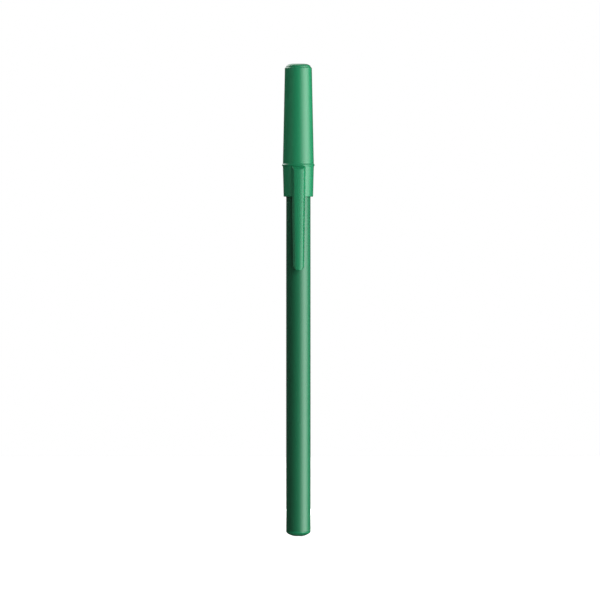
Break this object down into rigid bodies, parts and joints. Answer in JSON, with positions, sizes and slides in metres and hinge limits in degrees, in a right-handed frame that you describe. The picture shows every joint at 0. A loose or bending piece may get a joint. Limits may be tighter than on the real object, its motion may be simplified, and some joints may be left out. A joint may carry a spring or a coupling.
{
  "type": "stick ballpoint pen",
  "caption": "Capped stick ballpoint pen: straight round barrel, pull-off vented cap with a pocket clip, brass writing point and rolling ball.",
  "frame": {"origin": "middle of the small flat at the rear end of the pen, on its axis", "axes": "+Z along the pen from its rear end to the top of its cap, -Y towards the clip"},
  "size_m": [0.0104, 0.0115, 0.1491],
  "materials": {
    "barrel_plastic": "semi-gloss moulded",
    "cap_plastic": "semi-gloss moulded",
    "point_brass": "turned",
    "ball_metal": "polished",
    "tube_plastic": "milky",
    "ink_paste": "wet"
  },
  "bodies": {
    "barrel": {"barrel": "barrel_plastic", "end_plug": "cap_plastic", "nose_holder": "cap_plastic", "point_body": "point_brass", "ink_tube": "tube_plastic", "ink": "ink_paste"},
    "cap": {"cap": "cap_plastic", "cap_vent_plug": "cap_plastic"},
    "clip": {"pocket_clip": "cap_plastic"},
    "ball": {"writing_ball": "ball_metal"}
  },
  "joints": [
    {"name": "cap_slide", "type": "slide", "parent": "barrel", "child": "cap", "axis": [0, 0, 1], "range_m": [0, 0.034]},
    {"name": "clip_flex", "type": "hinge", "parent": "cap", "child": "clip", "pos_m": [0, -0.00632, 0.10713], "axis": [-1, 0, 0], "range_deg": [0, 5], "stiffness_Nm_per_rad": 0.35},
    {"name": "ball_roll", "type": "hinge", "parent": "barrel", "child": "ball", "pos_m": [0, 0, 0.13712], "axis": [1, 0, 0], "continuous": true}
  ]
}
